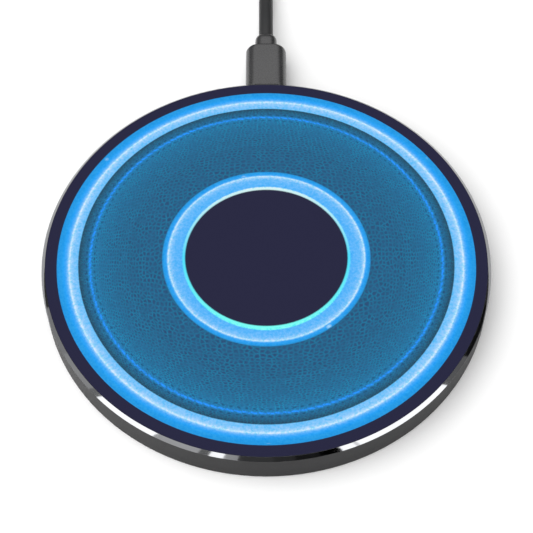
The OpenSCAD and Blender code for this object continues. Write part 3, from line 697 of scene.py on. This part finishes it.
# The net is a plain one, scaled by NET_SCALE * exp(radius / NET_GROWTH) / radius ** NET_PULL
NET_SCALE, NET_GROWTH, NET_PULL = 18.5, 14.0, 1.514
MIDDLE_FROM, MIDDLE_FULL = 0.16, 0.36 # in a cell, the distance from its edge
EDGE_FULL, EDGE_TO = 0.05, 0.17
# The inks over them: what each multiplies the colour below it by
CELL_MIDDLE, CELL_EDGE = (1.16, 0.64, 0.73, 1), (0.70, 1.49, 1.30, 1)
STREAK_LOW, STREAK_HIGH = (0.35, 0.87, 0.955, 1), (1.65, 1.13, 1.035, 1)
MOTTLE_LOW, MOTTLE_HIGH = (0.84, 0.88, 0.88, 1), (1.16, 1.12, 1.12, 1)
LIGHT_LEVEL = 1.2                     # how bright the studio makes a white card that lies flat


def ink(hex_colour):
    """The ink that shows as this colour under the studio's light."""
    return tuple(c / LIGHT_LEVEL for c in linear(hex_colour)[:3]) + (1.0,)


def band_ramp(tree, radius, bands):
    """The bands' colours by radius, each blending into the next."""
    low, high = bands[0][0], bands[-1][0]
    ramp = add(tree, "ShaderNodeValToRGB", {"Fac": ranged(tree, radius, low, high)})
    stops = ramp.color_ramp.elements
    while len(stops) < len(bands):
        stops.new(0.5)
    for stop, (r, _) in zip(stops, bands):
        stop.position = (r - low) / (high - low)
    for stop, (_, colour) in zip(stops, bands):
        stop.color = ink(colour)
    return ramp.outputs["Color"]


def printed_film():
    """Polyester film, printed on the back in process inks and laminated matt, so it shows no gloss:
    navy ground, two glowing rings, and between them a fine net of cells in rings."""
    material, tree = new_material("printed_matt_film")
    mm = object_mm(tree)

    def noise(vector, scale, detail=2.0, roughness=0.5):
        return add(tree, "ShaderNodeTexNoise", {
            "Vector": vector, "Scale": scale, "Detail": detail, "Roughness": roughness})

    def within(low, high):
        """1 between those radii, 0 elsewhere."""
        return maths(tree, "MULTIPLY", maths(tree, "GREATER_THAN", radius, low),
                     maths(tree, "LESS_THAN", radius, high))

    def away(value, middle):
        """How far the value is from that middle."""
        return maths(tree, "ABSOLUTE", maths(tree, "SUBTRACT", value, middle))

    flat = add(tree, "ShaderNodeVectorMath", {0: mm, 1: (1, 1, 0)}, operation="MULTIPLY").outputs[0]
    radius = radius_mm(tree, mm)
    parts = add(tree, "ShaderNodeSeparateXYZ", {0: mm})
    angle = maths(tree, "ARCTAN2", parts.outputs["Y"], parts.outputs["X"])

    bands = mixed(tree, maths(tree, "GREATER_THAN", radius, BAND_SPLIT),
                  band_ramp(tree, radius, INNER_BANDS), band_ramp(tree, radius, OUTER_BANDS))

    # the bright line round the navy disc: 0.5 mm wide at the sides, 1.0 in front and 0.7 behind,
    # greener in front and paler behind
    back = maths(tree, "DIVIDE", parts.outputs["Y"], maths(tree, "MAXIMUM", radius, 1.0))
    wide = maths(tree, "MULTIPLY_ADD", maths(tree, "MULTIPLY", back, back), LINE_ENDS,
                 maths(tree, "MULTIPLY_ADD", back, LINE_LEAN, LINE_W))
    line_colour = mixed(tree, ranged(tree, back, 0.0, 1.0),
                        mixed(tree, ranged(tree, back, -1.0, 0.0), ink("7afef5"), ink("4ee0fd")),
                        ink("d4f4f5"))
    past_line = maths(tree, "SUBTRACT", radius, maths(tree, "ADD", wide, DISC_R))
    bands = mixed(tree, ranged(tree, past_line, -0.1, 0.2, 1.0, 0.0), bands, line_colour)
    bands = mixed(tree, ranged(tree, radius, DISC_R - 0.15, DISC_R + 0.15, 1.0, 0.0), bands,
                  ink(NAVY))

    # the net: cells about 1.6 mm across by the inner ring, and shallower towards the outer one
    pull = maths(tree, "POWER", maths(tree, "MAXIMUM", radius, 1.0), -NET_PULL)
    growth = maths(tree, "EXPONENT", maths(tree, "DIVIDE", radius, NET_GROWTH))
    scale = maths(tree, "MULTIPLY", pull, maths(tree, "MULTIPLY", growth, NET_SCALE))
    spread = add(tree, "ShaderNodeVectorMath", {0: flat, "Scale": scale},
                 operation="SCALE").outputs[0]
    cells = add(tree, "ShaderNodeTexVoronoi", {"Vector": spread, "Scale": 1.0, "Randomness": 0.75},
                feature="DISTANCE_TO_EDGE", voronoi_dimensions="2D").outputs["Distance"]
    patch = noise(mm, 0.45, 2.0).outputs["Fac"]
    in_net = maths(tree, "MULTIPLY", within(NET_FROM, NET_TO),
                   ranged(tree, patch, 0.35, 0.65, 0.3, 1.0))
    middle = maths(tree, "MULTIPLY", in_net, ranged(tree, cells, MIDDLE_FROM, MIDDLE_FULL))
    edge = maths(tree, "MULTIPLY", in_net, ranged(tree, cells, EDGE_FULL, EDGE_TO, 1.0, 0.0))
    colour = mixed(tree, middle, bands, CELL_MIDDLE, "MULTIPLY")
    colour = mixed(tree, edge, colour, CELL_EDGE, "MULTIPLY")

    # short dark dashes along both sides of the dashed ring, and teal specks in the dark band
    phase = maths(tree, "FRACT", maths(tree, "MULTIPLY", angle, DASHES / (2 * math.pi)))
    beside = away(away(radius, DASH_R - TEETH_FROM), TEETH_OFF)
    teeth = maths(tree, "MULTIPLY", ranged(tree, beside, 0.08, 0.26, 1.0, 0.0),
                  ranged(tree, away(phase, 0.5), 0.12, 0.3, 0.55, 0.0))
    colour = mixed(tree, teeth, colour, ink("173a58"))
    specks = ranged(tree, noise(mm, 1.7, 3.0, 0.7).outputs["Fac"], 0.55, 0.68)
    specks = maths(tree, "MULTIPLY", specks, within(DASH_R + 0.5, NET_TO))
    colour = mixed(tree, maths(tree, "MULTIPLY", specks, 0.4), colour, ink("27809c"))

    # the dashed ring: slightly slanted, uneven dashes that almost touch
    mottle = ranged(tree, noise(mm, 1.7, 4.0, 0.7).outputs["Fac"], 0.3, 0.7)
    slant = maths(tree, "MULTIPLY_ADD", maths(tree, "SUBTRACT", phase, 0.5), DASH_SLANT, DASH_R)
    dash = ranged(tree, away(radius, slant), DASH_HALF, DASH_FADE, 1.0, 0.0)
    gap = ranged(tree, away(phase, 0.5), 0.34, 0.5, 1.0, 0.6)
    strength = maths(tree, "MULTIPLY", maths(tree, "MULTIPLY", dash, gap),
                     ranged(tree, mottle, 0.2, 0.7, 0.5, 1.05))
    colour = mixed(tree, strength, colour, ink("2793ff"))

    # ink mottle, in patches about 0.6 mm across: strong on the pale rings, faint on the net
    on_rings = maths(tree, "ADD", within(DISC_R + 0.5, NET_FROM), within(NET_TO, RINGS_END))
    streaks = mixed(tree, mottle, STREAK_LOW, STREAK_HIGH)
    colour = mixed(tree, on_rings, colour, streaks, "MULTIPLY")
    colour = mixed(tree, within(NET_FROM, NET_TO), colour,
                   mixed(tree, mottle, MOTTLE_LOW, MOTTLE_HIGH), "MULTIPLY")

    # painted glints: a few pale flecks, about 5 mm apart, in the blue edges of the rings, painted
    # into the print's colour as small sparkles of light
    glint_cells = add(tree, "ShaderNodeTexVoronoi", {"Vector": mm, "Scale": 0.2}).outputs["Distance"]
    blue_edges = maths(tree, "ADD", within(*INNER_BLUE), within(*OUTER_BLUE))
    painted_glints = maths(tree, "MULTIPLY", ranged(tree, glint_cells, 0.05, 0.16, 0.75, 0.0), blue_edges)
    colour = mixed(tree, painted_glints, colour, ink("b4e2ff"))

    # the laminate's tooth: 12 a millimetre
    tooth = noise(mm, 12.0)
    bump = add(tree, "ShaderNodeBump", {"Height": tooth.outputs["Fac"], "Distance": 0.002 * MM,
                                        "Strength": 0.4})
    finish_material(tree, {"Base Color": colour, "Roughness": 0.75, "Specular IOR Level": 0.08,
                           "Normal": bump.outputs["Normal"]})
    return material


def polished_rim():
    """Zinc alloy with a diamond-cut bevel under dark chrome: a mirror with fine turning lines."""
    material, tree = new_material("dark_chrome_diamond_cut")
    mm = object_mm(tree)
    # 40 turning lines a millimetre, too fine to show one by one: they only soften the mirror
    turned = add(tree, "ShaderNodeTexNoise", {"W": radius_mm(tree, mm), "Scale": 40.0,
                                              "Detail": 1.0}, noise_dimensions="1D")
    haze = add(tree, "ShaderNodeTexNoise", {"Vector": mm, "Scale": 0.3, "Detail": 2.0})
    colour = mixed(tree, haze.outputs["Fac"], linear("828385"), linear("8a8b8d"))
    finish_material(tree, {"Base Color": colour, "Metallic": 1.0,
                           "Roughness": ranged(tree, turned.outputs["Fac"], 0, 1, 0.03, 0.08)})
    return material


def twisted_copper():
    """Enamelled copper: a clear amber lacquer over drawn wire, glossy and a little uneven."""
    material, tree = new_material("enamelled_copper_strand")
    mm = object_mm(tree)
    tone = add(tree, "ShaderNodeTexNoise", {"Vector": mm, "Scale": 0.6, "Detail": 3.0})
    colour = mixed(tree, tone.outputs["Fac"], linear("a8602c"), linear("cf8348"))
    finish_material(tree, {
        "Base Color": colour, "Metallic": 0.85, "Coat Weight": 0.5, "Coat Roughness": 0.08,
        "Roughness": ranged(tree, tone.outputs["Fac"], 0, 1, 0.22, 0.34)})
    return material


MATERIALS = {
    "printed_film": printed_film(),
    # float glass with black paint behind it: deep, flat and glossy
    "cover_glass": grained("float_glass_back_painted", "20242c", "1d2128", 0.05, 6.0, 0.0005),
    # acrylic foam tape: dull and faintly porous
    "adhesive_tape": grained("acrylic_foam_tape", "1c1d20", "131417", 0.85, 0.15, 0.02),
    # glass-filled epoxy sheet: speckled by its cut fibres
    "stiffener": speckled("glass_filled_epoxy_sheet", "26262a", "36363a", 0.6, 0.35, 0.4),
    "polished_rim": polished_rim(),
    # die-cast zinc under fine matt paint: soft sheen, faint orange peel
    "painted_alloy": grained("matt_paint_on_zinc", "2c2c2d", "272728", 0.48, 0.35, 0.004,
                             **{"Specular IOR Level": 0.12}),
    # ABS and polycarbonate from a spark-eroded mould: even, dull grain
    "base_plastic": grained("abs_spark_eroded", "343436", "28282a", 0.6, 0.25, 0.02),
    # nickel-plated steel: bright, with lines from the lathe
    "screw_steel": drawn_metal("nickel_plated_steel", "b4b5b6", "96979a", 0.28, (1, 1, 0.2), 0.12),
    # moulded silicone: dull, holds a little dust
    "foot_rubber": grained("silicone_rubber", "232325", "1b1b1d", 0.7, 0.3, 0.01),
    # polyurethane foam: open pores about 0.4 mm across
    "foam": speckled("open_cell_foam", "4a4d52", "2c2e32", 0.95, 0.4, 0.5),
    "copper_litz": twisted_copper(),
    # sintered ferrite: near black, with a fine sparkle of crystals
    "ferrite": speckled("sintered_ferrite", "353537", "5a5a5e", 0.5, 0.18, 0.25),
    # moulded nylon: milky, satin
    "tray_plastic": grained("moulded_nylon", "dededa", "d2d2ce", 0.42, 0.8, 0.004,
                            **{"Subsurface Weight": 0.1, "Subsurface Scale": 0.001}),
    # a bead dipped in epoxy: smooth and rounded, glossy
    "thermistor": grained("dipped_epoxy_bead", "232325", "1b1b1d", 0.22, 1.5, 0.01),
    "circuit_board": solder_mask(),
    # moulded epoxy: dull black with a fine eroded grain
    "chip_epoxy": grained("moulded_epoxy_package", "1e1e20", "151517", 0.55, 0.12, 0.01),
    # fired ceramic: matt tan, slightly mottled
    "capacitor": grained("fired_ceramic_body", "bda17a", "ad9069", 0.5, 0.4, 0.004),
    # moulded yellow epoxy: satin
    "tantalum": grained("moulded_yellow_epoxy", "cfab42", "bf9a34", 0.45, 0.3, 0.006),
    # pressed iron powder: dark grey with bright metal grains
    "inductor": speckled("pressed_iron_powder", "47474b", "7a7a80", 0.55, 0.12, 0.2, Metallic=0.3),
    # glazed thick film: glossy, nearly black
    "resistor": grained("glazed_thick_film", "2c2c2e", "222224", 0.18, 0.5, 0.001),
    # stamped nickel-silver can: bright, rolled lines
    "crystal_can": drawn_metal("stamped_nickel_silver", "c9cbcd", "b4b6b9", 0.2, (0.1, 1, 1), 0.1),
    # clear cast epoxy: the lamp's water-clear lens
    "lamp": grained("clear_cast_epoxy", "f0eee4", "e4e2d8", 0.08, 2.0, 0.001,
                    **{"Transmission Weight": 0.6, "IOR": 1.53}),
    # extruded acrylic rod: clear, with a flame-polished end
    "light_guide": grained("clear_acrylic_rod", "eef4f6", "e2ecf0", 0.08, 1.5, 0.001,
                           **{"Transmission Weight": 0.75, "IOR": 1.49}),
    # silicone filled with ceramic powder: soft, blue-grey, dull
    "thermal_pad": grained("filled_silicone_pad", "95a6be", "8798b0", 0.8, 0.2, 0.015),
    # deep-drawn stainless steel: grey, with draw lines along the port
    "socket_steel": drawn_metal("deep_drawn_stainless", "bfc1c4", "a6a8ab", 0.26, (1, 0.06, 1)),
    # liquid crystal polymer: black and satin, clouded where the melt flowed
    "connector_plastic": grained("liquid_crystal_polymer", "242426", "161618", 0.4, 0.5, 0.003),
    # gold flash over nickel: warm and bright, with the strip's rolling lines
    "contacts": drawn_metal("gold_plate", "e2bd63", "c9a04a", 0.22, (1, 0.1, 1), 0.05),
    # drawn stainless steel: brighter than the port's, lines along the plug
    "plug_steel": drawn_metal("drawn_stainless_steel", "c9cbce", "a9abae", 0.25, (1, 0.05, 1)),
    # moulded thermoplastic elastomer: satin, shows a soft shine where it lies flat
    "plug_moulding": grained("tpe_overmould", "373738", "323233", 0.28, 0.22, 0.003,
                             **{"Specular IOR Level": 0.65}),
    # extruded thermoplastic elastomer: an even dark grey, duller than the plug's
    "cord_jacket": grained("tpe_cord_jacket", "2f2f30", "292a2b", 0.5, 0.3, 0.005,
                           **{"Specular IOR Level": 0.28}),
    # moulded silicone: deep black, dull
    "tie": grained("silicone_strap", "222224", "18181a", 0.55, 0.3, 0.01),
    # white glass-filled polyester: dull, a little cold
    "white_insert": grained("white_polyester", "f2f2f0", "e4e4e0", 0.45, 0.3, 0.004),
}

record = frame["record"]
slot_of = {part["node"]: part["material_slot"] for part in record["subparts"]}
for name, piece in nodes.items():
    piece.data.materials.clear()
    piece.data.materials.append(MATERIALS[slot_of[name]])


def stands_for(piece, node, body, dressed=False):
    """A made piece takes a CAD node's place on its body, with that node's finish."""
    if not dressed:
        piece.data.materials.append(MATERIALS[slot_of[node]])
    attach(piece, body)
    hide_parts(node)
    return piece


stands_for(make_rim(MATERIALS["polished_rim"]), "bezel_ring", "pad", dressed=True)
stands_for(make_foot(MATERIALS["foot_rubber"]), "foot_ring", "pad", dressed=True)
stands_for(make_litz(MATERIALS["copper_litz"]), "transmit_coil", "pad", dressed=True)

socket_plug = stands_for(moulded_body("plug_moulding", plug_low, plug_high, corner=2.7, slope=1.0,
                                      plan_round=1.3, end_round=0.6, lip=0.25),
                         "plug_body", "lead")
relief = stands_for(collar("plug_relief", collar_low, collar_high, waist=0.04),
                    "plug_collar", "lead")
far_plug = stands_for(moulded_body("usb_a_moulding", far_low, far_high, corner=2.4, slope=1.2,
                                   plan_round=2.3, end_round=1.6, lip=0.3),
                      "usb_a_body", "lead")
far_relief = stands_for(collar("usb_a_relief", far_collar_low, far_collar_high, waist=0.5),
                        "usb_a_collar", "lead")
strap = stands_for(make_strap(), "cord_tie", "lead")
grip = make_grip("usb_a_grip", far_low, far_high, MATERIALS["plug_moulding"])
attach(grip, "lead")

cord.data.materials.append(MATERIALS["cord_jacket"])
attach(cord, "lead")
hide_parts("cord_lead", "cord_coil", "cord_tail")


# ---------- studio ----------

FLOOR_R = 3.0
FLOOR_GLOW = 0.05


def make_floor():
    """A white acrylic table, lit a little from below."""
    bm = bmesh.new()
    bmesh.ops.create_circle(bm, cap_ends=True, segments=64, radius=FLOOR_R)
    floor = mesh_object("floor", bm)
    floor.data.materials.append(grained("lit_white_acrylic", "f9f9f9", "f8f8f8", 0.9, 40, 0, **{
        "Specular IOR Level": 0.0, "Emission Color": (1, 1, 1, 1),
        "Emission Strength": FLOOR_GLOW}))


# Cards round the pad, as seen in polished metal, from -180 degrees on: where each ends, in degrees
# from +X, and how bright it is
CARDS = [(-165, 0.9), (-161, 0.5), (-136, 4.2), (-117, 1.25), (-113, 0.4), (-107, 4.0),
         (-101.5, 1.0), (-88, 0.12), (-80, 0.08), (-70, 0.03), (-61, 0.0), (-55.5, 4.2),
         (-54.5, 2.4), (-15, 4.2), (-2, 0.35), (17, 0.02), (163, 0.08), (180, 0.7)]
CARD_TOP = 0.6                        # sine of the elevation that the cards reach
BRIGHTEST = 4.5                       # what full white in the cards' ramp stands for
TOP_CARD = 1.45                       # the card overhead
HORIZON = 0.3                         # the sky's light low down, as a share of that overhead
OVERHEAD = LIGHT_LEVEL * 2 / (1 + HORIZON)
FROM_LEFT, FROM_FRONT = -1.2, -0.5    # how the light falls off along +X and +Y
BACKDROP = 1.0                        # the plain white that the camera sees


def make_world():
    """Soft light for what is matt, cards for what is glossy, and a plain white backdrop."""
    world = bpy.data.worlds.new("studio")
    bpy.context.scene.world = world
    world.use_nodes = True
    tree = world.node_tree
    tree.nodes.clear()

    def either(factor, one, two):
        return add(tree, "ShaderNodeMix", {"Factor": factor, 2: one, 3: two},
                   data_type="FLOAT").outputs[0]

    way = add(tree, "ShaderNodeTexCoord").outputs["Generated"]
    parts = add(tree, "ShaderNodeSeparateXYZ", {0: way})
    x, y, z = (parts.outputs[axis] for axis in "XYZ")
    turn = maths(tree, "ARCTAN2", y, x)
    share = add(tree, "ShaderNodeMapRange", {"Value": turn, "From Min": -math.pi,
                                             "From Max": math.pi}).outputs[0]
    ramp = add(tree, "ShaderNodeValToRGB", {"Fac": share})
    ramp.color_ramp.interpolation = "CONSTANT"
    stops = ramp.color_ramp.elements
    while len(stops) < len(CARDS):
        stops.new(0.5)
    start = -180
    for stop, (end, level) in zip(stops, CARDS):
        stop.position = (start + 180) / 360
        start = end
    for stop, (end, level) in zip(stops, CARDS):
        stop.color = (level / BRIGHTEST,) * 3 + (1.0,)
    cards = maths(tree, "MULTIPLY", ramp.outputs["Color"], BRIGHTEST)

    # soft light: strongest overhead and from the left, and a little more from the front
    sides = maths(tree, "MULTIPLY_ADD", x, FROM_LEFT, 1.0)
    ends = maths(tree, "MULTIPLY_ADD", y, FROM_FRONT, sides)
    kept = maths(tree, "MAXIMUM", ends, 0.0)
    steep = maths(tree, "MULTIPLY", z, z)
    high = maths(tree, "MULTIPLY_ADD", steep, (1 - HORIZON) * OVERHEAD, HORIZON * OVERHEAD)
    soft = maths(tree, "MULTIPLY", high, kept)

    path = add(tree, "ShaderNodeLightPath")
    low = maths(tree, "LESS_THAN", z, CARD_TOP)
    shiny = either(low, TOP_CARD, cards)
    level = either(path.outputs["Is Glossy Ray"], soft, shiny)
    seen = either(path.outputs["Is Camera Ray"], level, BACKDROP)
    light = add(tree, "ShaderNodeBackground", {"Color": (1, 1, 1, 1), "Strength": seen})
    add(tree, "ShaderNodeOutputWorld", {"Surface": light.outputs[0]})


make_floor()
make_world()
bpy.context.scene.view_settings.view_transform = "Standard"
